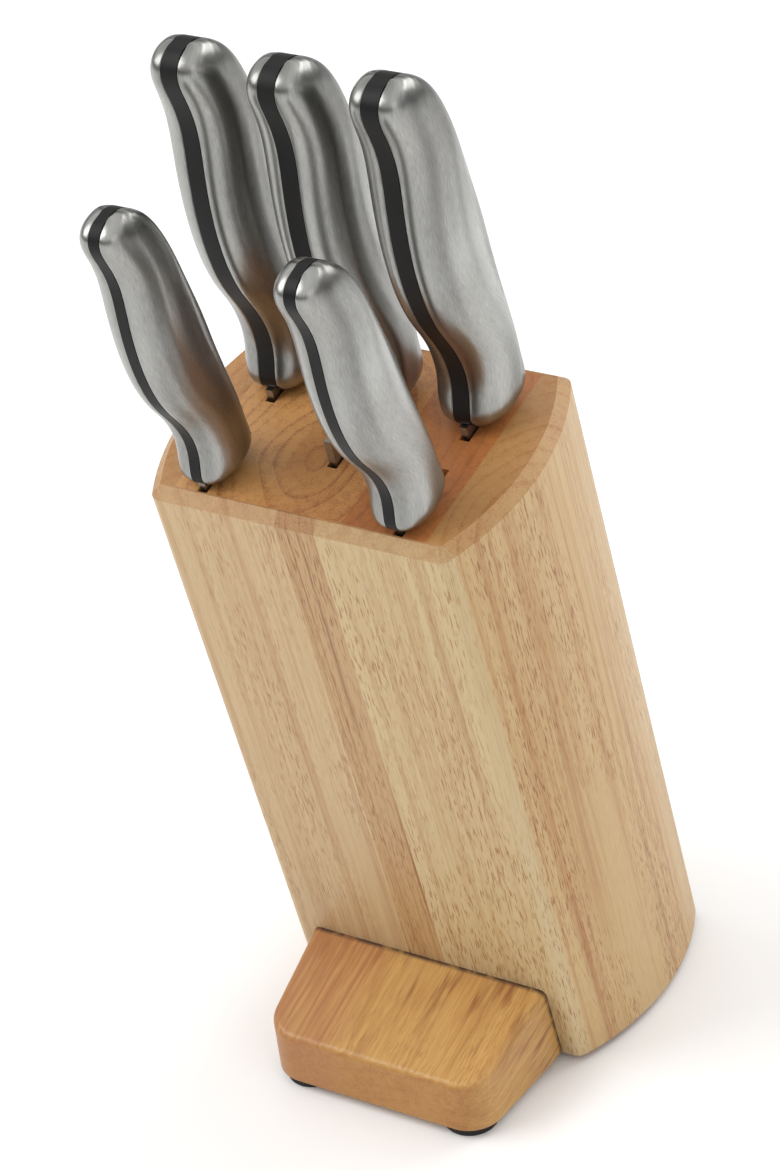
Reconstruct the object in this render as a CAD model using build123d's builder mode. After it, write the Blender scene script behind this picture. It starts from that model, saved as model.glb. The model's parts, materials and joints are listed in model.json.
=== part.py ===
from build123d import *
import os
from math import cos, radians, sin, tan

# Knife block with five knives.
#
# Frame: origin on the surface that the block stands on, under the middle of the whole
# thing's box. +Z is up, the front of the block looks along -Y, +X is to the right seen
# from the front.
# The block leans forward over its foot. Points on it are given as (u, v, w): u is across
# the block (X), v is through its depth towards the back, w is along its leaning axis.
# Each knife has its own pair (s, t): s is from its front edge line towards its spine,
# t is along the knife, upwards from the block's top face.

# --- block -------------------------------------------------------------------------
block_width = 100        # across the flat front and back faces
block_depth = 82
block_length = 238       # along the leaning axis, from the standing surface to the top
block_lean = 11          # degrees forward of upright
side_bow = 10            # how far each bowed side swells out at mid depth
long_edge_round = 4
top_ease = 3.4           # chamfer around the top face
bottom_ease = 1
axis_setback = 37.94     # the leaning axis meets the standing surface this far behind the origin
facing_thickness = 4     # front and back facings
side_board_seat = 43     # half width of the core, where the bowed side boards start
core_joint = 14.5        # glue joints between the three core timbers, each side of centre
front_stave_joints = (-7, 6.5)
back_stave_joints = (-16, 13)

# --- slots: saw kerfs in the core, closed by the facings ----------------------------
slot_pitch = 33.5
kerf = 3.4
slot_end_clearance = 0.8     # in front of or behind a blade in its kerf
tip_clearance = 0.5          # under the point of a blade at rest

# --- foot and what it stands on -----------------------------------------------------
foot_front = 47              # how far it reaches in front of the block's bottom edge
foot_front_height = 19       # its own height at the front edge
foot_lift = 1.4              # its underside stands this far above the block's
foot_joint_w = 42            # height of the joint line up the block's front face
foot_joint_half_width = 43.5
foot_front_half_width = 40
foot_corner_round = 11.5
foot_edge_ease = 2.5
foot_underside_ease = 0.8
dowel_diameter = 8
dowel_depth = 15             # into the block, and into the foot
dowel_spread = 25            # each side of centre
dowel_w = 24
dowel_fit = 0.05
dowel_end_gap = 0.5
pad_diameter = 18
pad_height = 2               # under the block; the front pads are taller by the foot's lift
pad_edge_round = 0.6
front_pad_inset = 10.5       # from the foot's front edge to a pad's centre
front_pad_spread = 29.5
back_pad_inset = 14          # from the block's bottom back edge to a pad's centre
back_pad_spread = 38

# --- knives --------------------------------------------------------------------------
blade_thickness = 2.4
edge_thickness = 0.4
edge_setback = 0.3           # the cutting edge behind the handle's front line
blade_spine_share = 0.96     # of the handle's depth
ground_share = 0.7           # of the blade's width that is ground thinner towards the edge
ricasso = 12                 # below the top face a blade keeps its full thickness this far
tip_share = 0.75             # where the point lies, as a share of the blade's width
bend_share = 0.55            # of the reach, where edge and spine start to turn to the point
belly_share = 0.82           # where the edge line, run on, meets the line to the point
scallop_pitch = 6.4
scallop_depth = 1.1
scalloped_share = 0.86       # of the reach
shell_wall = 1.2
shell_fit = 0.1              # between a shell and the core inside it
tang_length_share = 0.8      # of the handle's length: it stops where the butt rounds over
tang_fit = 0.05
pin_diameter = 4
pin_fit = 0.03
pin_length_share = 0.64      # of the handle's thickness
pin_shares = (0.22, 0.62)    # of the handle's length

# Handles: depth is from the front line to the back of the grip at its blade end, band is
# the width of the black layer, spine_gain is what a shallow handle's back gains on depth.
large_handle = dict(length=124, depth=24.5, thickness=24.8, band=5.5, spine_gain=0,
                    tang_front=6, tang_width=11)
small_handle = dict(length=103.5, depth=20.5, thickness=20.6, band=3.6, spine_gain=0.07,
                    tang_front=5, tang_width=9.2)

# Each shell's section is two quarter rounds that meet at its widest line. A fullness of
# 0.55 makes a quarter an ellipse, and 1 would make it a square corner.
belly_fullness = 0.58
spine_fullness = 0.72
widest_share = 0.52          # from the belly, as a share of the section's depth

# Handle sections from the blade end to the butt. Each gives the height along the handle,
# the belly and the spine as shares of the handle's length and depth, and the swell of the
# shells as a share of the handle's half thickness.
handle_sections = (
    (0.000, 0.08, 0.94, 0.76),
    (0.018, 0.04, 1.02, 0.90),
    (0.080, 0.12, 1.05, 0.96),
    (0.155, 0.16, 1.05, 0.96),
    (0.235, 0.07, 1.04, 0.96),
    (0.330, -0.12, 1.02, 0.97),
    (0.420, -0.23, 1.00, 0.99),
    (0.505, -0.265, 0.99, 1.00),
    (0.680, -0.185, 0.91, 1.00),
    (0.810, -0.095, 0.83, 0.97),
    (0.885, -0.14, 0.75, 0.91),
    (0.940, -0.185, 0.64, 0.79),
    (0.975, -0.135, 0.49, 0.60),
    (1.000, 0.08, 0.26, 0.28),
)

# Each knife: which column of slots it stands in, where its front line meets the top face
# behind the block's axis, how many degrees it leans further forward than the block, its
# handle, the bare blade between top face and handle, the blade's reach below the top face,
# how far the heel drops in front of the front line (less than 0: the edge is behind it),
# how far the heel's corner rises above the handle's end, and which facing closes its kerf.
front_edge = facing_thickness + slot_end_clearance - block_depth / 2
knives = (
    dict(name="utility", column=-1, front=front_edge - 1.6, tilt=3.2, handle=small_handle,
         stand_off=3, reach=122, heel=-1.6, heel_rise=0, kerf_side="front"),
    dict(name="paring", column=1, front=front_edge - 2.7, tilt=6.1, handle=small_handle,
         stand_off=3, reach=92, heel=-2.7, heel_rise=0, kerf_side="front"),
    dict(name="carving", column=-1, front=4.6, tilt=-1.65, handle=large_handle,
         stand_off=3.6, reach=202, heel=0, heel_rise=0, kerf_side="back"),
    dict(name="chef", column=0, front=2.5, tilt=-1.65, handle=large_handle,
         stand_off=4.4, reach=196, heel=18.5, heel_rise=4.2, kerf_side="back"),
    dict(name="bread", column=1, front=5.3, tilt=0, handle=large_handle,
         stand_off=4.2, reach=200, heel=0, heel_rise=0, kerf_side="back"),
)

os.makedirs("parts", exist_ok=True)


def block_point(u, v, w):
    """World point of the block coordinates (u, v, w)."""
    lean = radians(block_lean)
    return (u, axis_setback + v * cos(lean) - w * sin(lean), v * sin(lean) + w * cos(lean))


def leaning_axis(angle):
    """Unit vector along an axis that leans forward by an angle in degrees."""
    return (0, -sin(radians(angle)), cos(radians(angle)))


def depth_axis(angle):
    """Unit vector through the depth, square to the axis that leans by the angle."""
    return (0, cos(radians(angle)), sin(radians(angle)))


def write(name, part):
    """Label a finished piece and write it as one STEP file."""
    part.label = name
    export_step(part, f"parts/{name}.step")


half_width = block_width / 2
half_depth = block_depth / 2
core_half_depth = half_depth - facing_thickness
overshoot = 30               # how far cutting tools run past what they cut

# Block planes: across has (u, v) and looks up the axis, side has (v, w) and looks along +X.
axis_foot = block_point(0, 0, 0)
block_across = Plane(origin=axis_foot, x_dir=(1, 0, 0), z_dir=leaning_axis(block_lean))
block_side = Plane(origin=axis_foot, x_dir=depth_axis(block_lean), z_dir=(1, 0, 0))

# --- outer form of the block: flat front and back, bowed sides, cut level at the bottom ---
with BuildPart() as block_form:
    with BuildSketch(block_across.offset(-overshoot)):
        with BuildLine():
            Line((-half_width, -half_depth), (half_width, -half_depth))
            ThreePointArc((half_width, -half_depth), (half_width + side_bow, 0), (half_width, half_depth))
            Line((half_width, half_depth), (-half_width, half_depth))
            ThreePointArc((-half_width, half_depth), (-half_width - side_bow, 0), (-half_width, -half_depth))
        make_face()
        fillet(vertices(), long_edge_round)
    extrude(amount=block_length + overshoot)
    top_face = faces().filter_by(block_across).sort_by(Axis((0, 0, 0), leaning_axis(block_lean)))[-1]
    chamfer(top_face.edges(), top_ease)
    split(bisect_by=Plane.XY.offset(pad_height), keep=Keep.TOP)
    chamfer(faces().sort_by(Axis.Z)[0].edges(), bottom_ease)


def board(u_range, v_range):
    """Piece of the block's form between two u planes and two v planes."""
    with BuildPart() as piece:
        add(block_form.part)
        with BuildSketch(block_across.offset(-overshoot)):
            with Locations(((u_range[0] + u_range[1]) / 2, (v_range[0] + v_range[1]) / 2)):
                Rectangle(u_range[1] - u_range[0], v_range[1] - v_range[0])
        extrude(amount=block_length + 2 * overshoot, mode=Mode.INTERSECT)
    return piece.part


def knife_origin(knife):
    """World point where a knife's front edge line passes through the top face."""
    return block_point(knife["column"] * slot_pitch, knife["front"], block_length)


def knife_side(knife):
    """Plane of a knife's side view, with (s, t), looking along +X."""
    lean = block_lean + knife["tilt"]
    return Plane(origin=knife_origin(knife), x_dir=depth_axis(lean), z_dir=(1, 0, 0))


def knife_across(knife):
    """Plane square to a knife, with (u, s), looking up the knife."""
    lean = block_lean + knife["tilt"]
    return Plane(origin=knife_origin(knife), x_dir=(1, 0, 0), z_dir=leaning_axis(lean))


def kerf_range(knife):
    """The v range and the bottom w of a knife's kerf, with room for the tilted blade.

    A blade that leans back dips lower at its spine, and its edge stands along the kerf."""
    tilt = radians(knife["tilt"])
    depth = knife["handle"]["depth"]
    dip = max(0, -depth * sin(tilt))
    lowest = block_length - knife["reach"] * cos(tilt) - dip - tip_clearance
    if knife["kerf_side"] == "front":
        back = knife["front"] + depth * cos(tilt) + knife["reach"] * sin(tilt)
        return (-core_half_depth, back + slot_end_clearance), lowest
    front = knife["front"] - knife["heel"] - slot_end_clearance
    return (front, core_half_depth), lowest


def cut_kerf(knife):
    """Cut one stopped kerf, open at the top and towards its facing."""
    (v_front, v_back), lowest = kerf_range(knife)
    open_front = v_front - overshoot if knife["kerf_side"] == "front" else v_front
    open_back = v_back + overshoot if knife["kerf_side"] == "back" else v_back
    with BuildSketch(block_side.offset(knife["column"] * slot_pitch)) as slot:
        with Locations(((open_front + open_back) / 2, (lowest + block_length + overshoot) / 2)):
            Rectangle(open_back - open_front, block_length + overshoot - lowest)
    extrude(slot.sketch, amount=kerf / 2, both=True, mode=Mode.SUBTRACT)


def dowel_hole(side, length, extra_radius):
    """A round bar or hole square to the front face, centred on the joint of foot and block."""
    joint_plane = Plane(
        origin=block_point(side * dowel_spread, -half_depth, dowel_w),
        x_dir=(1, 0, 0),
        z_dir=depth_axis(block_lean),
    )
    with BuildSketch(joint_plane) as end:
        Circle(dowel_diameter / 2 + extra_radius)
    return extrude(end.sketch, amount=length, both=True, mode=Mode.PRIVATE)


# --- core: three timbers with the kerfs --------------------------------------------------
core_edges = (-side_board_seat, -core_joint, core_joint, side_board_seat)
for index, name in enumerate(("core_left", "core_middle", "core_right")):
    column = index - 1
    with BuildPart() as core:
        add(board((core_edges[index], core_edges[index + 1]), (-core_half_depth, core_half_depth)))
        for knife in knives:
            if knife["column"] == column:
                cut_kerf(knife)
        if column:
            add(dowel_hole(column, dowel_depth + dowel_end_gap, dowel_fit), mode=Mode.SUBTRACT)
    write(name, core.part)

# --- bowed side boards ---------------------------------------------------------------------
outer = half_width + side_bow + overshoot
with BuildPart() as side_board_left:
    add(board((-outer, -side_board_seat), (-core_half_depth, core_half_depth)))
write("side_board_left", side_board_left.part)

with BuildPart() as side_board_right:
    add(board((side_board_seat, outer), (-core_half_depth, core_half_depth)))
write("side_board_right", side_board_right.part)

# --- facings: edge-glued staves over the front and the back ---------------------------------
front_edges = (-outer, *front_stave_joints, outer)
back_edges = (-outer, *back_stave_joints, outer)
for index, place in enumerate(("left", "middle", "right")):
    with BuildPart() as front_stave:
        add(board((front_edges[index], front_edges[index + 1]), (-half_depth - overshoot, -core_half_depth)))
        if place != "middle":
            side = index - 1
            add(dowel_hole(side, dowel_depth + dowel_end_gap, dowel_fit), mode=Mode.SUBTRACT)
    write(f"front_stave_{place}", front_stave.part)
    with BuildPart() as back_stave:
        add(board((back_edges[index], back_edges[index + 1]), (core_half_depth, half_depth + overshoot)))
    write(f"back_stave_{place}", back_stave.part)

# --- foot -------------------------------------------------------------------------------------
bottom_w = (pad_height + half_depth * sin(radians(block_lean))) / cos(radians(block_lean))
bottom_front_y = block_point(0, -half_depth, bottom_w)[1]
joint_y, joint_z = block_point(0, -half_depth, foot_joint_w)[1:]
foot_front_y = bottom_front_y - foot_front
foot_bottom_z = pad_height + foot_lift
foot_bottom_y = bottom_front_y - foot_lift * tan(radians(block_lean))
with BuildPart() as foot:
    with BuildSketch(Plane.YZ):
        with BuildLine():
            Polyline(
                (foot_bottom_y, foot_bottom_z),
                (foot_front_y, foot_bottom_z),
                (foot_front_y, foot_bottom_z + foot_front_height),
                (joint_y, joint_z),
                close=True,
            )
        make_face()
    extrude(amount=foot_joint_half_width + overshoot, both=True)
    with BuildSketch(Plane.XY):
        with BuildLine():
            Polyline(
                (-foot_joint_half_width, joint_y),
                (-foot_front_half_width, foot_front_y),
                (foot_front_half_width, foot_front_y),
                (foot_joint_half_width, joint_y),
                (foot_joint_half_width, bottom_front_y + overshoot),
                (-foot_joint_half_width, bottom_front_y + overshoot),
                close=True,
            )
        make_face()
        fillet(vertices().group_by(Axis.Y)[0], foot_corner_round)
    extrude(amount=block_length, mode=Mode.INTERSECT)
    sloped_top = faces().filter_by(GeomType.PLANE).sort_by(Axis.Z)[-1]
    joint_line = sloped_top.edges().sort_by(Axis.Y)[-1]
    fillet([edge for edge in sloped_top.edges() if edge != joint_line], foot_edge_ease)
    underside = faces().filter_by(GeomType.PLANE).sort_by(Axis.Z)[0]
    joint_edge = underside.edges().sort_by(Axis.Y)[-1]
    fillet([edge for edge in underside.edges() if edge != joint_edge], foot_underside_ease)
    for side in (-1, 1):
        add(dowel_hole(side, dowel_depth + dowel_end_gap, dowel_fit), mode=Mode.SUBTRACT)
write("foot", foot.part)

with BuildPart() as foot_dowels:
    for side in (-1, 1):
        add(dowel_hole(side, dowel_depth, 0))
write("foot_dowels", foot_dowels.part)

# --- rubber pads --------------------------------------------------------------------------------
bottom_back_w = (pad_height - half_depth * sin(radians(block_lean))) / cos(radians(block_lean))
bottom_back_y = block_point(0, half_depth, bottom_back_w)[1]
pad_places = {
    "front_left": (-front_pad_spread, foot_front_y + front_pad_inset, foot_bottom_z),
    "front_right": (front_pad_spread, foot_front_y + front_pad_inset, foot_bottom_z),
    "back_left": (-back_pad_spread, bottom_back_y - back_pad_inset, pad_height),
    "back_right": (back_pad_spread, bottom_back_y - back_pad_inset, pad_height),
}
for place, (across, along, height) in pad_places.items():
    with BuildPart() as pad:
        with BuildSketch(Plane.XY):
            with Locations((across, along)):
                Circle(pad_diameter / 2)
        extrude(amount=height)
        fillet(edges().group_by(Axis.Z)[0], pad_edge_round)
    write(f"rubber_pad_{place}", pad.part)


# --- knife pieces ----------------------------------------------------------------------------------
def handle_stations(knife, inset):
    """Height, belly, spine and swell of each handle section, drawn in by an inset."""
    handle = knife["handle"]
    stations = []
    for height, belly, spine, swell in handle_sections:
        along = knife["stand_off"] + inset + height * (handle["length"] - 2 * inset)
        front = belly * handle["depth"] + inset
        back = (spine + handle["spine_gain"]) * handle["depth"] - inset
        out = handle["band"] / 2 + swell * (handle["thickness"] - handle["band"]) / 2 - inset
        stations.append((along, front, back, out))
    return stations


def shell_form(knife, side, inset):
    """Loft one half of a handle through rounded sections, flat against the band."""
    face = side * knife["handle"]["band"] / 2
    with BuildPart() as form:
        for along, front, back, out in handle_stations(knife, inset):
            outer = side * out
            swell = outer - face
            widest = front + widest_share * (back - front)
            belly_start = (face + belly_fullness * swell, front)
            belly_end = (outer, widest - belly_fullness * (widest - front))
            spine_start = (outer, widest + spine_fullness * (back - widest))
            spine_end = (face + spine_fullness * swell, back)
            with BuildSketch(knife_across(knife).offset(along)):
                with BuildLine():
                    Line((face, back), (face, front))
                    Bezier((face, front), belly_start, belly_end, (outer, widest))
                    Bezier((outer, widest), spine_start, spine_end, (face, back))
                make_face()
        loft()
    return form.part


def band_form(knife):
    """Loft the middle layer of a handle, as wide as the band, through plain sections."""
    with BuildPart() as form:
        for along, front, back, _ in handle_stations(knife, 0):
            with BuildSketch(knife_across(knife).offset(along)):
                with Locations((0, (front + back) / 2)):
                    Rectangle(knife["handle"]["band"], back - front)
        loft()
    return form.part


def pin_places(handle, stand_off):
    """The two pins across the tang, on its middle line."""
    middle = handle["tang_front"] + handle["tang_width"] / 2
    return [(middle, stand_off + share * handle["length"]) for share in pin_shares]


def tang_sketch(handle, stand_off, fit):
    """Tang outline in the side view, grown by a fit all round."""
    length = tang_length_share * handle["length"]
    middle = handle["tang_front"] + handle["tang_width"] / 2
    with Locations((middle, stand_off + length / 2)):
        Rectangle(handle["tang_width"] + 2 * fit, length + 2 * fit)


def blade_outline(knife):
    """Blade outline in the side view: heel, cutting edge, tip and spine.

    The edge of a knife that leans back tapers by its lean, so it stands along its kerf."""
    spine = blade_spine_share * knife["handle"]["depth"]
    edge = edge_setback - knife["heel"]
    tip = (tip_share * spine, -knife["reach"])
    heel_top = knife["stand_off"]
    heel_corner = (edge, heel_top + knife["heel_rise"])
    bend = -bend_share * knife["reach"]
    taper = tan(radians(max(0, -knife["tilt"])))
    bend_edge = (edge - bend * taper, bend)
    belly = belly_share * knife["reach"]
    Polyline((spine, bend), (spine, heel_top), (max(edge, edge_setback), heel_top))
    if knife["heel_rise"]:
        Line((edge_setback, heel_top), heel_corner)
    if knife["name"] == "bread":
        count = int(scalloped_share * knife["reach"] / scallop_pitch)
        Line(heel_corner, (edge, 0))
        for index in range(count):
            top = -index * scallop_pitch
            bottom = top - scallop_pitch
            ThreePointArc((edge, top), (edge + scallop_depth, (top + bottom) / 2), (edge, bottom))
        Spline((edge, -count * scallop_pitch), tip, tangents=((0, -1), (0.9, -0.6)))
    else:
        Line(heel_corner, (edge, 0))
        Line((edge, 0), bend_edge)
        Bezier(bend_edge, (edge + belly * taper, -belly), tip)
    Spline(tip, (spine, bend), tangents=((0.15, 1), (0, 1)))


def ground_relief(knife, side):
    """Outline of what is ground off one side of a blade, in the section across it."""
    edge = -knife["heel"]
    shoulder = edge + ground_share * (knife["handle"]["depth"] - edge)
    Polyline(
        (side * edge_thickness / 2, edge - overshoot),
        (side * edge_thickness / 2, edge),
        (side * blade_thickness / 2, shoulder),
        (side * overshoot, shoulder),
        (side * overshoot, edge - overshoot),
        close=True,
    )


for knife in knives:
    name = knife["name"]
    side_plane = knife_side(knife)
    handle = knife["handle"]
    stand_off = knife["stand_off"]
    pin_half_length = pin_length_share * handle["thickness"] / 2

    # Blade and tang, one piece of steel, ground to its edge from below the ricasso.
    with BuildPart() as blade:
        with BuildSketch(side_plane):
            with BuildLine():
                blade_outline(knife)
            make_face()
        extrude(amount=blade_thickness / 2, both=True)
        with BuildSketch(knife_across(knife).offset(-knife["reach"] - overshoot)):
            for side in (-1, 1):
                with BuildLine():
                    ground_relief(knife, side)
                make_face()
        extrude(amount=knife["reach"] + overshoot - ricasso, mode=Mode.SUBTRACT)
        with BuildSketch(side_plane):
            tang_sketch(handle, stand_off, 0)
        extrude(amount=blade_thickness / 2, both=True)
        with BuildSketch(side_plane):
            with Locations(*pin_places(handle, stand_off)):
                Circle(pin_diameter / 2 + pin_fit)
        extrude(amount=blade_thickness, both=True, mode=Mode.SUBTRACT)
    write(f"{name}_blade", blade.part)

    # Moulded core: the black band all round, and the filling inside each shell.
    with BuildPart() as core:
        add(band_form(knife))
        for side in (-1, 1):
            add(shell_form(knife, side, shell_wall + shell_fit))
        with BuildSketch(side_plane):
            tang_sketch(handle, stand_off, tang_fit)
        extrude(amount=blade_thickness / 2 + tang_fit, both=True, mode=Mode.SUBTRACT)
        with BuildSketch(side_plane):
            with Locations(*pin_places(handle, stand_off)):
                Circle(pin_diameter / 2 + pin_fit)
        extrude(amount=pin_half_length + pin_fit, both=True, mode=Mode.SUBTRACT)
    write(f"{name}_core", core.part)

    # Steel shells, left and right, drawn to an even wall over the core's filling.
    for side, place in ((-1, "left"), (1, "right")):
        with BuildPart() as shell:
            add(shell_form(knife, side, 0))
            add(shell_form(knife, side, shell_wall), mode=Mode.SUBTRACT)
        write(f"{name}_shell_{place}", shell.part)

    # Pins that lock the tang in the core.
    with BuildPart() as pins:
        with BuildSketch(side_plane):
            with Locations(*pin_places(handle, stand_off)):
                Circle(pin_diameter / 2)
        extrude(amount=pin_half_length, both=True)
    write(f"{name}_pins", pins.part)
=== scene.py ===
import json
from math import atan2, cos, radians, sin

import bmesh
import bpy
import numpy as np
from mathutils import Matrix, Vector

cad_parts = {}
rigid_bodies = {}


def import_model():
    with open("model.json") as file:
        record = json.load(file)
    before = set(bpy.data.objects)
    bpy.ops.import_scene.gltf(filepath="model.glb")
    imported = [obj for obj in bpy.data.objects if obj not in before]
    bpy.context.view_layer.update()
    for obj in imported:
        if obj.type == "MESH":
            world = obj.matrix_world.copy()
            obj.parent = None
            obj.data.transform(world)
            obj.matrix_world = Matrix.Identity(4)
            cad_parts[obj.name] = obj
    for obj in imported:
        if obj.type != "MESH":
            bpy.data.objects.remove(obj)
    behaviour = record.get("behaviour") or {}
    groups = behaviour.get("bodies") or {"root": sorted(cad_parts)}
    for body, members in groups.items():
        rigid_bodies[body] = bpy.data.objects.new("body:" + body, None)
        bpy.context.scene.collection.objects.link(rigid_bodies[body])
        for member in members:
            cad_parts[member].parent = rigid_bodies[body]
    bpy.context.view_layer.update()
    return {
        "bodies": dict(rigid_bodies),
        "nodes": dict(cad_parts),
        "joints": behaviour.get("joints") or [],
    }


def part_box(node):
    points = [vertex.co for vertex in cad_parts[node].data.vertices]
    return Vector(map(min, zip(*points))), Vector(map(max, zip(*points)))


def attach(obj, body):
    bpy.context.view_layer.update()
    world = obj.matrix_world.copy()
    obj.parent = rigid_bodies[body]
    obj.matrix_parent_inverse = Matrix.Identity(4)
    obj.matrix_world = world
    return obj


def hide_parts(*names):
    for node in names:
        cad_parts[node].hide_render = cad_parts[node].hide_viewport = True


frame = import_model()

# --- Camera ---------------------------------------------------------------------------------
# The block is seen from its front right, well above it, with a long lens held at a
# slight slant, so that the block seems to lean to the left over its foot.
azimuth, elevation, slant = radians(34.75), radians(33.64), radians(-7.93)
look_at = Vector((-0.028, 0.0379, 0.1423))
distance = 1.2075
away = Vector((sin(azimuth) * cos(elevation), -cos(azimuth) * cos(elevation), sin(elevation)))
level_right = Vector((cos(azimuth), sin(azimuth), 0))
level_up = away.cross(level_right)
right = cos(slant) * level_right + sin(slant) * level_up
up = cos(slant) * level_up - sin(slant) * level_right
view = Matrix((right, up, away)).transposed().to_4x4()
view.translation = look_at + distance * away
lens = bpy.data.cameras.new("lens")
lens.sensor_fit, lens.sensor_width, lens.lens = "HORIZONTAL", 36, 173.8
camera = bpy.data.objects.new("camera", lens)
camera.matrix_world = view
bpy.context.collection.objects.link(camera)
bpy.context.scene.camera = camera


# --- Floor ----------------------------------------------------------------------------------
# A white sweep of matt paper under the block, wide enough to fill every view.


def add(tree, kind, inputs=(), **settings):
    """Add a shader node; each input is linked if it is given a socket, or else set."""
    made = tree.nodes.new("ShaderNode" + kind)
    for name, value in settings.items():
        setattr(made, name, value)
    for name, value in dict(inputs).items():
        if isinstance(value, bpy.types.NodeSocket):
            tree.links.new(value, made.inputs[name])
        else:
            made.inputs[name].default_value = value
    return made


def calc(tree, operation, *values):
    """Result of a math node on sockets or numbers."""
    return add(tree, "Math", dict(enumerate(values)), operation=operation).outputs[0]


def between(tree, value, low, high, to_low=0.0, to_high=1.0):
    """A value carried from one range to another with eased ends, held at both."""
    ends = {"From Min": low, "From Max": high, "To Min": to_low, "To Max": to_high}
    return add(tree, "MapRange", {"Value": value, **ends}, interpolation_type="SMOOTHSTEP").outputs[0]


def blend_colour(tree, factor, first, second, kind="MIX"):
    """Colour mixed from two by a factor, each a socket or a colour."""
    mix = add(tree, "Mix", {0: factor, 6: first, 7: second}, data_type="RGBA", blend_type=kind)
    return mix.outputs[2]


def noise(tree, vector, across, along, detail=2.0):
    """Noise with so many features a metre across and along the Z of a vector."""
    drawn = add(tree, "Mapping", {"Vector": vector, "Scale": (across, across, along)}).outputs[0]
    return add(tree, "TexNoise", {"Vector": drawn, "Scale": 1.0, "Detail": detail}).outputs["Fac"]


def principled(name, **constants):
    """New material, with its node tree and its Principled shader, and the constants set."""
    material = bpy.data.materials.new(name)
    material.use_nodes = True
    shader = material.node_tree.nodes["Principled BSDF"]
    for key, value in constants.items():
        shader.inputs[key.replace("_", " ")].default_value = value
    return material, material.node_tree, shader


def paint(red, green, blue):
    """Linear colour with full alpha from the 0 to 255 values of a paint chart."""
    shares = np.array((red, green, blue)) / 255
    linear = np.where(shares <= 0.04045, shares / 12.92, ((shares + 0.055) / 1.055) ** 2.4)
    return (*linear.tolist(), 1.0)


paper, tree, shader = principled("white_paper", Roughness=0.95, Specular_IOR_Level=0.05)
mottle = noise(tree, add(tree, "TexCoord").outputs["Object"], 3, 3)
tone = between(tree, mottle, 0.3, 0.7, 0.915, 0.925)
grey = add(tree, "CombineColor", {0: tone, 1: tone, 2: tone}).outputs[0]
tree.links.new(grey, shader.inputs["Base Color"])

floor_reach = 40.0
floor_mesh = bpy.data.meshes.new("floor")
corner_signs = ((-1, -1), (1, -1), (1, 1), (-1, 1))
floor_corners = [(x * floor_reach, y * floor_reach, 0) for x, y in corner_signs]
floor_mesh.from_pydata(floor_corners, [], [(0, 1, 2, 3)])
floor_mesh.materials.append(paper)
floor = bpy.data.objects.new("floor", floor_mesh)
bpy.context.collection.objects.link(floor)


# --- Studio light ---------------------------------------------------------------------------
# Large soft lamps and a room that is bright overhead and dim at eye level, so that the
# steel has something dark to reflect.


def soft_lamp(name, place, aim, width, height, watts):
    """White rectangular area lamp at a place, turned to face a point."""
    data = bpy.data.lights.new(name, "AREA")
    data.shape, data.size, data.size_y = "RECTANGLE", width, height
    data.energy = watts
    lamp = bpy.data.objects.new(name, data)
    lamp.location = place
    lamp.rotation_euler = (Vector(aim) - Vector(place)).to_track_quat("-Z", "Y").to_euler()
    bpy.context.collection.objects.link(lamp)


block_middle = (0, 0, 0.18)
soft_lamp("key_lamp", (-1.3, -0.9, 1.7), block_middle, 1.4, 1.4, 22)
soft_lamp("rim_lamp", (0.6, 1.4, 1.3), block_middle, 1.4, 0.9, 12)
soft_lamp("fill_lamp", (1.7, -0.8, 0.8), block_middle, 1.0, 1.2, 3.5)

room = bpy.data.worlds.new("studio")
bpy.context.scene.world = room
room.use_nodes = True
tree = room.node_tree
direction = add(tree, "TexCoord").outputs["Generated"]
height = add(tree, "SeparateXYZ", {0: direction}).outputs["Z"]
brightness = between(tree, height, 0.0, 0.7, 0.08, 1.0)
tree.links.new(brightness, tree.nodes["Background"].inputs["Strength"])
tree.nodes["Background"].inputs["Color"].default_value = (1, 1, 1, 1)
bpy.context.scene.view_settings.view_transform = "Standard"


# --- Core timbers ---------------------------------------------------------------------------
# Three blocks of light hardwood, glued side by side, with the saw kerfs for the blades in
# them. Only their end grain shows, on the top face: oiled orange brown, with the rings of
# one small stem running on through all three.
lift = {joint["child"]: Vector(joint["axis"]) for joint in frame["joints"]}
up_block = lift["bread_knife"]       # the bread knife stands straight in the block
lean = atan2(-up_block.y, up_block.z)
through_block = Vector((0, cos(lean), sin(lean)))


def reach_along(node, direction):
    """Lowest and highest place of a node's points along a direction."""
    places = np.empty(3 * len(frame["nodes"][node].data.vertices))
    frame["nodes"][node].data.vertices.foreach_get("co", places)
    along = places.reshape(-1, 3) @ np.array(direction)
    return along.min(), along.max()


axis_depth = sum(reach_along("core_middle", through_block)) / 2


def interface(group, kind, **sockets):
    """Name a group's sockets, each with its type."""
    for name, form in sockets.items():
        name = name.replace("_", " ")
        group.interface.new_socket(name, in_out=kind, socket_type="NodeSocket" + form)


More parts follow.
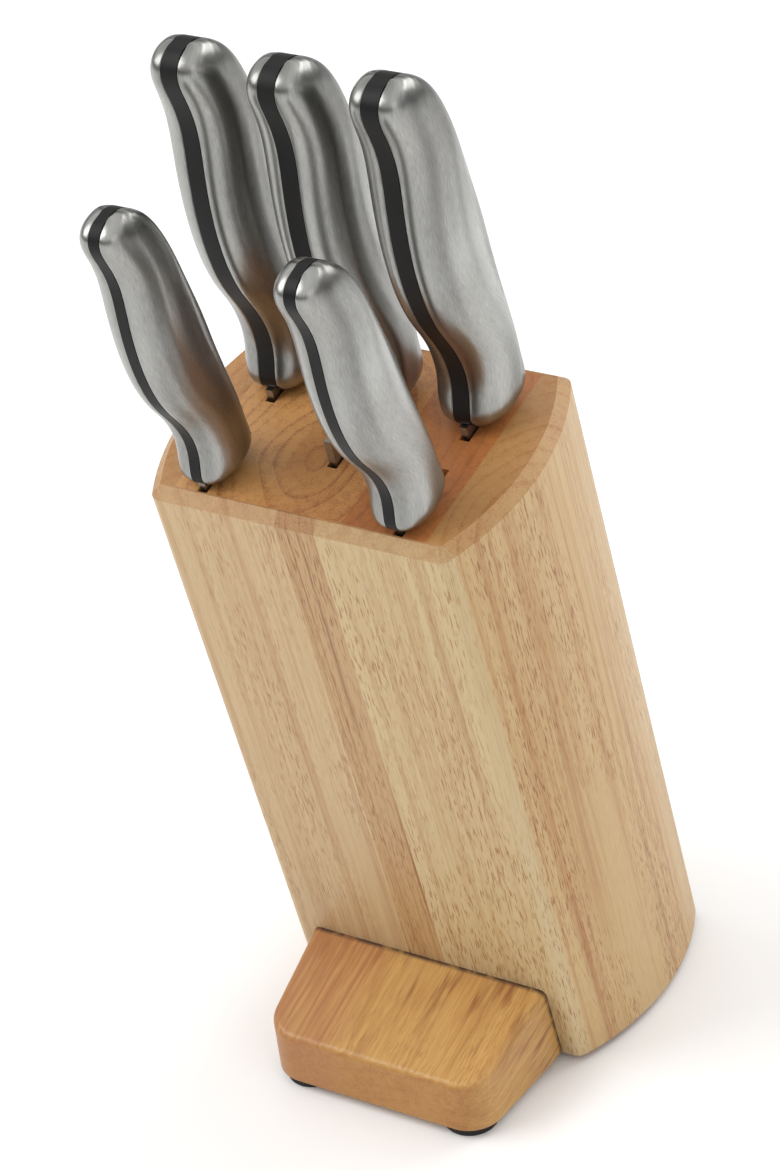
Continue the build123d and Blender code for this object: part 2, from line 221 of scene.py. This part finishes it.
def timber_group():
    """Solid timber about a pith on the Z axis: rings, fibre, streaks and short dashes.

    The ring is the fraction of (distance from Z, wavered by noise) / ring width, and it
    darkens towards its outer edge. Fibre, streaks and dashes are noise drawn out along Z,
    so that they are lines on long faces and dots on cut ends."""
    group = bpy.data.node_groups.new("solid_timber", "ShaderNodeTree")
    interface(group, "INPUT", Vector="Vector", Pale="Color", Dark="Color", Streak="Color",
              Ring_Width="Float", Oval="Float", Waver="Float", Ring_Depth="Float",
              Streak_Depth="Float", Dash_Depth="Float", End_Tint="Color", Facing="Float")
    interface(group, "OUTPUT", Color="Color", Roughness="Float", Height="Float")
    given = group.nodes.new("NodeGroupInput").outputs
    result = group.nodes.new("NodeGroupOutput").inputs
    place = given["Vector"]

    drawn = add(group, "Mapping", {"Vector": place, "Scale": (22, 22, 3)}).outputs[0]
    wander = add(group, "TexNoise", {"Vector": drawn, "Scale": 1.0, "Detail": 1.5}).outputs["Color"]
    sway = add(group, "VectorMath", {0: wander, 1: (0.5, 0.5, 0.5)}, operation="SUBTRACT").outputs[0]
    sway = add(group, "VectorMath", {0: sway, "Scale": given["Waver"]}, operation="SCALE").outputs[0]
    swayed = add(group, "VectorMath", {0: place, 1: sway}, operation="ADD").outputs[0]
    parts = add(group, "SeparateXYZ", {0: swayed}).outputs
    deep = calc(group, "MULTIPLY", parts[1], given["Oval"])
    squares = [calc(group, "MULTIPLY", side, side) for side in (parts[0], deep)]
    radius = calc(group, "SQRT", calc(group, "ADD", *squares))
    count = calc(group, "DIVIDE", radius, given["Ring Width"])
    phase = calc(group, "FRACT", count)
    number = calc(group, "FLOOR", count)
    year = add(group, "TexWhiteNoise", {"W": number}, noise_dimensions="1D").outputs["Value"]
    rise, fall = between(group, phase, 0.35, 0.9), between(group, phase, 1.0, 0.93)
    late = calc(group, "POWER", calc(group, "MULTIPLY", rise, fall), 1.8)
    ring = calc(group, "MULTIPLY", late, between(group, year, 0.0, 1.0, 0.25, 1.0))

    fibre = noise(group, place, 1700, 22, 3.0)
    strand = noise(group, place, 420, 7, 2.0)
    broad = noise(group, place, 34, 2.5)
    streak = between(group, noise(group, place, 260, 5, 3.0), 0.56, 0.72)
    clusters = between(group, noise(group, place, 60, 11, 1.0), 0.35, 0.65, 0.2, 1.0)
    dash = between(group, noise(group, place, 2300, 190, 1.0), 0.55, 0.66)
    dash = calc(group, "MULTIPLY", dash, clusters)
    long_face = calc(group, "SUBTRACT", 1.0, calc(group, "MULTIPLY", given["Facing"], 0.85))
    dash = calc(group, "MULTIPLY", dash, long_face)
    streak = calc(group, "MULTIPLY", streak, long_face)

    depth = calc(group, "MULTIPLY", ring, given["Ring Depth"])
    depth = calc(group, "ADD", depth, between(group, broad, 0.3, 0.7, -0.1, 0.35))
    depth = calc(group, "ADD", depth, between(group, fibre, 0.3, 0.7, -0.25, 0.25))
    depth = calc(group, "ADD", depth, between(group, strand, 0.3, 0.7, -0.2, 0.2))
    body = blend_colour(group, depth, given["Pale"], given["Dark"])
    streaked = calc(group, "MULTIPLY", streak, given["Streak Depth"])
    streaked = blend_colour(group, streaked, body, given["Streak"])
    dashed = calc(group, "MULTIPLY", dash, given["Dash Depth"])
    dashed = blend_colour(group, dashed, streaked, given["Streak"])
    soaked = blend_colour(group, 1.0, dashed, given["End Tint"], "MULTIPLY")
    group.links.new(blend_colour(group, given["Facing"], dashed, soaked), result["Color"])
    lacquer = between(group, fibre, 0.3, 0.7, 0.38, 0.5)
    rough = calc(group, "ADD", lacquer, calc(group, "MULTIPLY", dash, 0.1))
    group.links.new(rough, result["Roughness"])
    height = calc(group, "SUBTRACT", calc(group, "MULTIPLY", fibre, 0.6), dash)
    group.links.new(height, result["Height"])
    return group


solid_timber = timber_group()


def along_direction(tree, vector, direction):
    """How far a vector reaches along a direction."""
    product = add(tree, "VectorMath", {0: vector, 1: direction}, operation="DOT_PRODUCT")
    return product.outputs["Value"]


def timber(name, pith, pale, dark, streak, grain_turn=0.0, ring=0.0045, oval=1.0, waver=0.006,
           rings=0.5, streaks=0.3, dashes=0.6, end_tint=(0.78, 0.6, 0.46, 1), shift=0.0, marks=None):
    """Lacquered timber. Its grain runs up the block, turned about X by grain_turn, and the
    stem's middle passes through pith, given across and through the block. Marks is a
    function of the tree, the place along the grain and the colour, that returns a colour."""
    material, tree, shader = principled(name, Specular_IOR_Level=0.45, Coat_Weight=0.12,
                                        Coat_Roughness=0.3)
    turn = grain_turn - lean
    object_place = add(tree, "TexCoord").outputs["Object"]
    place = add(tree, "Mapping", {"Vector": object_place, "Rotation": (turn, 0, 0),
                                  "Location": (-pith[0], -pith[1], shift)}).outputs[0]
    normal = add(tree, "NewGeometry").outputs["Normal"]
    facing = along_direction(tree, normal, (0, sin(turn), cos(turn)))
    facing = between(tree, calc(tree, "ABSOLUTE", facing), 0.35, 0.95)
    group = tree.nodes.new("ShaderNodeGroup")
    group.node_tree = solid_timber
    tree.links.new(place, group.inputs["Vector"])
    tree.links.new(facing, group.inputs["Facing"])
    values = {"Pale": pale, "Dark": dark, "Streak": streak, "Ring Width": ring, "Oval": oval,
              "Waver": waver, "Ring Depth": rings, "Streak Depth": streaks, "Dash Depth": dashes,
              "End Tint": end_tint}
    for key, value in values.items():
        group.inputs[key].default_value = value
    colour = group.outputs["Color"]
    tree.links.new(marks(tree, place, colour) if marks else colour, shader.inputs["Base Color"])
    tree.links.new(group.outputs["Roughness"], shader.inputs["Roughness"])
    pores = {"Height": group.outputs["Height"], "Strength": 0.25, "Distance": 0.0002}
    tree.links.new(add(tree, "Bump", pores).outputs[0], shader.inputs["Normal"])
    return material


def finish(node, material):
    """Give a CAD node one material in all its slots."""
    slots = frame["nodes"][node].material_slots
    for slot in slots:
        slot.material = material
    if not slots:
        frame["nodes"][node].data.materials.append(material)


stem = (-0.007, axis_depth - 0.013)
heart = dict(dark=paint(150, 92, 54), streak=paint(122, 62, 32), rings=0.5, streaks=0.25, dashes=0.1,
             waver=0.016, ring=0.0042, oval=0.66, end_tint=(0.98, 0.93, 0.86, 1))
heart_pales = {"left": paint(200, 150, 92), "middle": paint(196, 142, 84),
               "right": paint(180, 115, 63)}
for part, pale in heart_pales.items():
    finish("core_" + part, timber("core_timber_" + part, stem, pale, **heart))

# --- Side boards ----------------------------------------------------------------------------
# The two bowed boards that close the sides of the core, shaped from thick planks after
# gluing. Golden hardwood, full of short brown dashes along the grain.
golden = dict(pale=paint(200, 168, 117), dark=paint(180, 134, 81), streak=paint(146, 88, 42))
finish("side_board_left",
       timber("side_timber_left", (-0.12, axis_depth + 0.03), **golden, dashes=0.8))
finish("side_board_right",
       timber("side_timber_right", (0.085, axis_depth - 0.02), **golden, dashes=0.8, shift=0.4))

# --- Facings --------------------------------------------------------------------------------
# Thin staves, edge-glued into the panels that close the kerfs at the front and the back.
# Each is cut from another board: pinkish on the left, a narrow darker one, then pale yellow.
pinkish = dict(pale=paint(199, 171, 128), dark=paint(180, 141, 97), streak=paint(150, 92, 50))
russet = dict(pale=paint(188, 152, 106), dark=paint(160, 114, 70), streak=paint(128, 72, 36))
straw = dict(pale=paint(202, 178, 134), dark=paint(184, 150, 99), streak=paint(152, 96, 48))
front_face = axis_depth - 0.04      # near the faces, for placing the staves' piths
back_face = axis_depth + 0.04
finish("front_stave_left",
       timber("stave_pinkish", (-0.09, front_face - 0.05), **pinkish, ring=0.006, dashes=0.55))
finish("front_stave_middle",
       timber("stave_russet", (0.03, front_face + 0.01), **russet, ring=0.0022, rings=0.6,
              streaks=0.7, waver=0.002))
finish("front_stave_right",
       timber("stave_straw", (0.07, front_face - 0.06), **straw, ring=0.006, rings=0.35,
              dashes=0.7, shift=0.7))
finish("back_stave_left",
       timber("back_stave_straw", (-0.07, back_face + 0.05), **straw, shift=0.3))
finish("back_stave_middle",
       timber("back_stave_russet", (0.05, back_face + 0.02), **russet, ring=0.003, shift=0.5))
finish("back_stave_right",
       timber("back_stave_pinkish", (0.08, back_face + 0.05), **pinkish, shift=0.9))

# --- Foot and its dowels --------------------------------------------------------------------
# A wedge of the same hardwood, glued and dowelled to the block's front. Its grain runs
# from the block to its front face, which shows end grain.
foot_grain = radians(73) + lean                  # the grain lies along the sloping top
flame_start, flame_end = 0.004, 0.034            # where in front of the joint the flames fade
ruddy_edge, ruddy_full = -0.008, -0.020          # where across the foot its left third begins
# width of the painted contact shadow on the foot along its joint with the block
joint_shadow_width = 0.0022
honey = dict(pale=paint(198, 154, 88), dark=paint(170, 118, 60), streak=paint(128, 70, 28))
joint_depth = reach_along("front_stave_left", through_block)[0]


def foot_marks(tree, place, colour):
    """Brown flames that run out from the joint, a ruddier left third, and a dark line along the joint:
    painted contact shadow where the foot meets the block, over its glue line.
    """
    object_place = add(tree, "TexCoord").outputs["Object"]
    across = add(tree, "SeparateXYZ", {0: object_place}).outputs["X"]
    ahead = calc(tree, "SUBTRACT", joint_depth, along_direction(tree, object_place, through_block))
    flame = calc(tree, "MULTIPLY", between(tree, noise(tree, place, 300, 42), 0.5, 0.72),
                 between(tree, ahead, flame_end, flame_start, 0.12, 0.8))
    colour = blend_colour(tree, flame, colour, paint(132, 74, 30))
    ruddy = calc(tree, "MULTIPLY", between(tree, across, ruddy_edge, ruddy_full),
                 between(tree, noise(tree, place, 800, 9), 0.35, 0.65, 0.35, 1.0))
    colour = blend_colour(tree, ruddy, colour, paint(168, 112, 66))
    # Painted contact shadow: a dark, uneven line on the foot along its joint with the block, over the
    # glue line.
    joint_shadow = calc(tree, "MULTIPLY", between(tree, ahead, joint_shadow_width, 0.0003),
                between(tree, noise(tree, place, 260, 260), 0.25, 0.6, 0.35, 1.0))
    return blend_colour(tree, joint_shadow, colour, paint(64, 36, 16))


finish("foot",
       timber("foot_timber", (0.02, 0.09), **honey, grain_turn=foot_grain, ring=0.005, rings=0.4,
              streaks=0.15, dashes=0.35, waver=0.01, end_tint=(0.81, 0.68, 0.57, 1), marks=foot_marks))
finish("foot_dowels", timber("dowel_timber", (0.01, 0.05), **straw, grain_turn=radians(90)))

# --- Rubber pads ----------------------------------------------------------------------------
# Four round black pads glued under foot and block, matt and slightly dusty.
rubber, tree, shader = principled("pad_rubber", Specular_IOR_Level=0.3)
speck = noise(tree, add(tree, "TexCoord").outputs["Object"], 900, 900, 3.0)
dusty = blend_colour(tree, between(tree, speck, 0.4, 0.7), paint(30, 29, 28), paint(52, 50, 48))
tree.links.new(dusty, shader.inputs["Base Color"])
tree.links.new(between(tree, speck, 0.3, 0.7, 0.65, 0.85), shader.inputs["Roughness"])
for place in ("front_left", "front_right", "back_left", "back_right"):
    finish("rubber_pad_" + place, rubber)


# --- Blades ---------------------------------------------------------------------------------
# Each blade and its tang are one strip of stainless steel, ground thin towards the edge
# and left with the fine cross marks of the belt.


def brushed_group():
    """Brushed metal: fine scratches drawn out along Z, with soft smudges over them.

    Wave is the height of broad dents drawn out along Z. It also lightens and darkens the colour in
    long streaks, by as much as uneven says: a painted sheen that stands in for reflections."""
    group = bpy.data.node_groups.new("brushed_steel", "ShaderNodeTree")
    interface(group, "INPUT", Vector="Vector", Across="Float", Along="Float", Smooth="Float",
              Rough="Float", Bright="Color", Dull="Color", Uneven="Float")
    interface(group, "OUTPUT", Color="Color", Roughness="Float", Height="Float", Wave="Float")
    given = group.nodes.new("NodeGroupInput").outputs
    result = group.nodes.new("NodeGroupOutput").inputs
    counts = {0: given["Across"], 1: given["Across"], 2: given["Along"]}
    size = add(group, "CombineXYZ", counts).outputs[0]
    stretched = add(group, "VectorMath", {0: given["Vector"], 1: size}, operation="MULTIPLY")
    scratch = noise(group, stretched.outputs[0], 1.0, 1.0, 3.0)
    smudge = noise(group, given["Vector"], 60, 25, 2.0)
    halves = [calc(group, "MULTIPLY", part, 0.5) for part in (scratch, smudge)]
    wear = between(group, calc(group, "ADD", *halves), 0.3, 0.7)
    wave = noise(group, given["Vector"], 130, 11, 1.0)
    # Painted sheen: the wave noise lightens and darkens the base colour in long streaks, as
    # reflections would.
    painted_sheen_swing = calc(group, "MULTIPLY", between(group, wave, 0.3, 0.7, -0.26, 0.24), given["Uneven"])
    painted_sheen = calc(group, "ADD", painted_sheen_swing, 1.0)
    colour = blend_colour(group, wear, given["Bright"], given["Dull"])
    toned = add(group, "VectorMath", {0: colour, "Scale": painted_sheen}, operation="SCALE").outputs[0]
    group.links.new(toned, result["Color"])
    spread = calc(group, "SUBTRACT", given["Rough"], given["Smooth"])
    rough = calc(group, "ADD", given["Smooth"], calc(group, "MULTIPLY", wear, spread))
    group.links.new(rough, result["Roughness"])
    group.links.new(scratch, result["Height"])
    group.links.new(wave, result["Wave"])
    return group


brushed_steel = brushed_group()


def steel(name, vector_of, across, along, smooth, rough, bright, dull, scratch, wave=0.0,
          painted_sheen_strength=0.1, **constants):
    """Brushed steel whose scratches follow the vector that vector_of makes in the tree.

    Wave is how high, in metres, the long dents of the forming stand; the argument after it, faint by
    default, says how strongly the same streaks are painted into the colour as a lighter and darker
    sheen that stands in for reflections."""
    material, tree, shader = principled(name, Metallic=1.0, **constants)
    group = tree.nodes.new("ShaderNodeGroup")
    group.node_tree = brushed_steel
    tree.links.new(vector_of(tree), group.inputs["Vector"])
    values = {"Across": across, "Along": along, "Smooth": smooth, "Rough": rough, "Bright": bright,
              "Dull": dull, "Uneven": painted_sheen_strength}
    for key, value in values.items():
        group.inputs[key].default_value = value
    tree.links.new(group.outputs["Color"], shader.inputs["Base Color"])
    tree.links.new(group.outputs["Roughness"], shader.inputs["Roughness"])
    dents = add(tree, "Bump", {"Height": group.outputs["Wave"], "Strength": 1.0, "Distance": wave})
    scratches = {"Height": group.outputs["Height"], "Strength": scratch, "Distance": 0.00005}
    bump = add(tree, "Bump", {**scratches, "Normal": dents.outputs[0]})
    tree.links.new(bump.outputs[0], shader.inputs["Normal"])
    return material


def across_blade(tree):
    """Place turned so that Z runs from edge to spine, as the grinding marks do."""
    place = add(tree, "TexCoord").outputs["Object"]
    return add(tree, "Mapping", {"Vector": place, "Rotation": (radians(90) - lean, 0, 0)}).outputs[0]


knife_names = [body[:-len("_knife")] for body in frame["bodies"] if body.endswith("_knife")]
blade_steel = steel("blade_steel", across_blade, across=5200, along=60, smooth=0.24, rough=0.36,
                    bright=paint(176, 174, 170), dull=paint(148, 145, 140), scratch=0.3)
for name in knife_names:
    finish(name + "_blade", blade_steel)

# --- Handle cores ---------------------------------------------------------------------------
# Black moulded plastic: it shows as a satin band all round the handle, between the shells.
black, tree, shader = principled("handle_black", Specular_IOR_Level=0.25)
grain = noise(tree, add(tree, "TexCoord").outputs["Object"], 1400, 1400, 3.0)
rubbed = noise(tree, add(tree, "TexCoord").outputs["Object"], 60, 40, 3.0)
satin = blend_colour(tree, between(tree, rubbed, 0.4, 0.7), paint(13, 12, 11), paint(22, 20, 19))
tree.links.new(satin, shader.inputs["Base Color"])
tree.links.new(between(tree, rubbed, 0.3, 0.7, 0.42, 0.56), shader.inputs["Roughness"])
bump = add(tree, "Bump", {"Height": grain, "Strength": 0.2, "Distance": 0.00005})
tree.links.new(bump.outputs[0], shader.inputs["Normal"])
for name in knife_names:
    finish(name + "_core", black)

# --- Handle shells --------------------------------------------------------------------------
# Each handle is clad in two deep-drawn shells of stainless steel, brushed along their
# length. Their rims are turned in a little where they meet the black band, and the butt
# end is drawn over in one round nose.
rim = 0.0004                 # rounding of the rim beside the band
wall = 0.0012
belly_bulge = 0.265          # shares of the depth that the belly stands in front of the core's
spine_bulge = 1.05           # line and the spine behind it, where each stands out most
sections = (                 # height, belly, spine as shares of length and depth; swell of the side
    (0.000, 0.08, 0.94, 0.76), (0.018, 0.04, 1.02, 0.90), (0.080, 0.12, 1.05, 0.96),
    (0.155, 0.16, 1.05, 0.96), (0.235, 0.07, 1.04, 0.96), (0.330, -0.12, 1.02, 0.97),
    (0.420, -0.23, 1.00, 0.99), (0.505, -0.265, 0.99, 1.00), (0.680, -0.185, 0.91, 1.00),
    (0.810, -0.095, 0.83, 0.97), (0.885, -0.14, 0.75, 0.91), (0.940, -0.185, 0.64, 0.79),
    (0.975, -0.135, 0.49, 0.60), (0.996, 0.05, 0.28, 0.28), (1.000, 0.17, 0.17, 0.00))
belly_fullness, spine_fullness = 0.58, 0.72      # how round a section is in front and behind
widest_share = 0.52          # of the depth, where a section is thickest
small_handle = 0.115         # a handle shorter than this is a small one
shallow_gain = 0.07          # how much further back a small handle's spine stands
length_rows, end_rows = 130, 6       # end rows close the flat end beside the blade
end_crowding = 0.35          # how far the rows crowd towards the two ends
rim_columns, side_columns = 4, 15
same_place = 1e-7            # points nearer to each other than this are joined


def smooth_through(knots, values, at):
    """Natural cubic spline through values at knots: its bends come from one linear system."""
    step = np.diff(knots)
    slope = np.diff(values, axis=0) / step[:, None]
    system = np.eye(len(knots))
    inner = np.arange(1, len(knots) - 1)
    system[inner, inner - 1] = step[:-1]
    system[inner, inner] = 2 * (step[:-1] + step[1:])
    system[inner, inner + 1] = step[1:]
    pull = np.zeros_like(values)
    pull[1:-1] = 6 * np.diff(slope, axis=0)
    bend = np.linalg.solve(system, pull)
    k = np.clip(np.searchsorted(knots, at, side="right") - 1, 0, len(step) - 1)
    d, h = (at - knots[k])[:, None], step[k][:, None]
    rise = slope[k] - h * (2 * bend[k] + bend[k + 1]) / 6
    return values[k] + d * rise + d**2 * bend[k] / 2 + d**3 * (bend[k + 1] - bend[k]) / (6 * h)


def quarter(start, corner_a, corner_b, end, share):
    """Cubic Bezier of each row's four places, at the shares along it."""
    weights = ((1 - share)**3, 3 * share * (1 - share)**2, 3 * share**2 * (1 - share), share**3)
    corners = (start, corner_a, corner_b, end)
    return sum(corner[:, None] * weight for corner, weight in zip(corners, weights))


def shell_rows(along, front, back, face, out, lip):
    """Grid of (out, depth, along): rounded rim, belly quarter, spine quarter, rounded rim.

    A rim turns through (face + lip (1 - cos a), lip (1 - sin a)), a from 0 to a right angle.
    Each quarter is a cubic Bezier between the rim and the widest place."""
    arc = np.linspace(0, np.pi / 2, rim_columns)
    share = np.linspace(0, 1, side_columns)
    lip = np.minimum(lip, 0.25 * np.minimum(out - face, back - front))
    widest = front + widest_share * (back - front)
    start = face + lip
    swell = out - start
    rim_out = face[:, None] + lip[:, None] * (1 - np.cos(arc))
    rim_in = lip[:, None] * (1 - np.sin(arc))
    belly_out = quarter(start, start + belly_fullness * swell, out, out, share)
    belly = quarter(front, front, widest - belly_fullness * (widest - front), widest, share)
    spine_out = quarter(out, out, start + spine_fullness * swell, start, share)
    spine = quarter(widest, widest + spine_fullness * (back - widest), back, back, share)
    outward = np.hstack((rim_out[:, :-1], belly_out, spine_out[:, 1:-1], rim_out[:, ::-1]))
    depth = np.hstack((front[:, None] + rim_in[:, :-1], belly, spine[:, 1:-1],
                       back[:, None] - rim_in[:, ::-1]))
    return outward, depth, np.broadcast_to(along[:, None], depth.shape)


def shell_mesh(name, side, x, front_line, base, length, depth, half_band, half_thickness,
               spine_gain, up_knife):
    """Hollow shell: an outer skin, an inner skin one wall inside it, and a rim between them.

    A point (out, depth, along) of a skin lies at x + side * out across, at front_line +
    depth through the knife and at base + along up it."""
    table = np.array(sections) * (length, depth, depth, 1)
    table[:-1, 2] += spine_gain * depth
    table[:, 3] *= half_thickness - half_band
    chord = np.linalg.norm(np.diff(table, axis=0), axis=1)
    knots = np.concatenate(([0], np.cumsum(chord)))
    crowded = 0.5 - 0.5 * np.cos(np.linspace(0, np.pi, length_rows))
    even = np.linspace(0, 1, length_rows)
    share = end_crowding * crowded + (1 - end_crowding) * even
    rows = smooth_through(knots, table, knots[-1] * share)
    cap = np.repeat(rows[:1], end_rows, axis=0)
    cap[:, 3] *= np.linspace(0, 1, end_rows + 1)[:-1]
    rows = np.vstack((cap, rows))
    along, front, back = rows[:, 0], rows[:, 1], rows[:, 2]
    swell = np.maximum(rows[:, 3], 0)
    face = np.full(len(rows), half_band)
    outer = shell_rows(along, front, back, face, face + swell, rim)
    middle = (front + back) / 2
    inner = shell_rows(np.clip(along, wall, length - wall), np.minimum(front + wall, middle),
                       np.maximum(back - wall, middle), face, face + np.maximum(swell - wall, 0), 0.0)
    row_count, column_count = outer[0].shape
    skins = np.array([np.stack(skin, -1) for skin in (outer, inner)]).reshape(-1, 3)
    through_knife = np.array((0, up_knife.z, -up_knife.y))
    places = np.zeros_like(skins)
    places[:, 0] = x + side * skins[:, 0]
    places += (front_line + skins[:, 1:2]) * through_knife
    places += (base + skins[:, 2:3]) * np.array(up_knife)

    index = np.arange(row_count * column_count).reshape(row_count, column_count)
    skin = np.stack((index[:-1, :-1], index[1:, :-1], index[1:, 1:], index[:-1, 1:]), -1)
    skin = skin.reshape(-1, 4)
    edge = np.concatenate((index[:, 0], index[-1, 1:], index[-2::-1, -1], index[0, -2:0:-1]))
    after = np.roll(edge, -1)
    inside = row_count * column_count
    rim_faces = np.stack((edge, edge + inside, after + inside, after), -1)
    faces = np.vstack((skin, skin[:, ::-1] + inside, rim_faces))
    if side > 0:                 # the right shell is the left's mirror, so its faces turn over
        faces = faces[:, ::-1]
    mesh = bpy.data.meshes.new(name)
    mesh.from_pydata(places.tolist(), [], faces.tolist())
    mesh.polygons.foreach_set("use_smooth", np.ones(len(faces), bool))

    girth = np.hypot(np.diff(outer[0], axis=1), np.diff(outer[1], axis=1))
    around = np.hstack((np.zeros((row_count, 1)), np.cumsum(girth, axis=1)))
    wrap = np.stack((around, outer[2]), -1).reshape(-1, 2)
    corner = np.empty(len(mesh.loops), int)
    mesh.loops.foreach_get("vertex_index", corner)
    layer = mesh.uv_layers.new(name="brushing")
    layer.data.foreach_set("uv", np.vstack((wrap, wrap))[corner].ravel())

    joined = bmesh.new()
    joined.from_mesh(mesh)
    bmesh.ops.remove_doubles(joined, verts=joined.verts, dist=same_place)
    bmesh.ops.dissolve_degenerate(joined, edges=joined.edges, dist=same_place)
    joined.to_mesh(mesh)
    joined.free()
    return mesh


def along_shell(tree):
    """The shell's own wrapping, with Z along the handle, as the brushing runs."""
    wrap = add(tree, "SeparateXYZ", {0: add(tree, "UVMap", uv_map="brushing").outputs[0]}).outputs
    return add(tree, "CombineXYZ", {0: wrap[0], 2: wrap[1]}).outputs[0]


# The shells' colour carries the painted sheen at full strength: long lighter and darker streaks that
# stand in for reflections.
shell_steel = steel("shell_steel", along_shell, across=3600, along=300, smooth=0.27, rough=0.36,
                    bright=paint(168, 168, 165), dull=paint(136, 135, 131), scratch=0.16,
                    wave=0.0009, painted_sheen_strength=1.0, Anisotropic=0.3)
for name in knife_names:
    body = name + "_knife"
    up_knife = lift[body]
    through_knife = Vector((0, up_knife.z, -up_knife.y))
    low, high = reach_along(name + "_core", up_knife)
    belly_reach, spine_reach = reach_along(name + "_core", through_knife)
    gain = shallow_gain if high - low < small_handle else 0.0
    depth = (spine_reach - belly_reach) / (spine_bulge + gain + belly_bulge)
    left_box, right_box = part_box(name + "_shell_left"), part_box(name + "_shell_right")
    x = (left_box[0].x + right_box[1].x) / 2
    half_band = right_box[0].x - x
    half_thickness = right_box[1].x - x
    for side, hand in ((-1, "left"), (1, "right")):
        mesh = shell_mesh(f"{name}_steel_{hand}", side, x, belly_reach + belly_bulge * depth, low,
                          high - low, depth, half_band, half_thickness, gain, up_knife)
        mesh.materials.append(shell_steel)
        shell = bpy.data.objects.new(f"{name}_steel_{hand}", mesh)
        bpy.context.collection.objects.link(shell)
        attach(shell, body)
        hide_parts(f"{name}_shell_{hand}")

# --- Pins -----------------------------------------------------------------------------------
# Two plain steel pins lock each tang in its core, hidden under the shells.
pin_steel = steel("pin_steel", across_blade, across=3000, along=200, smooth=0.25, rough=0.4,
                  bright=paint(200, 199, 196), dull=paint(170, 168, 164), scratch=0.2)
for name in knife_names:
    finish(name + "_pins", pin_steel)
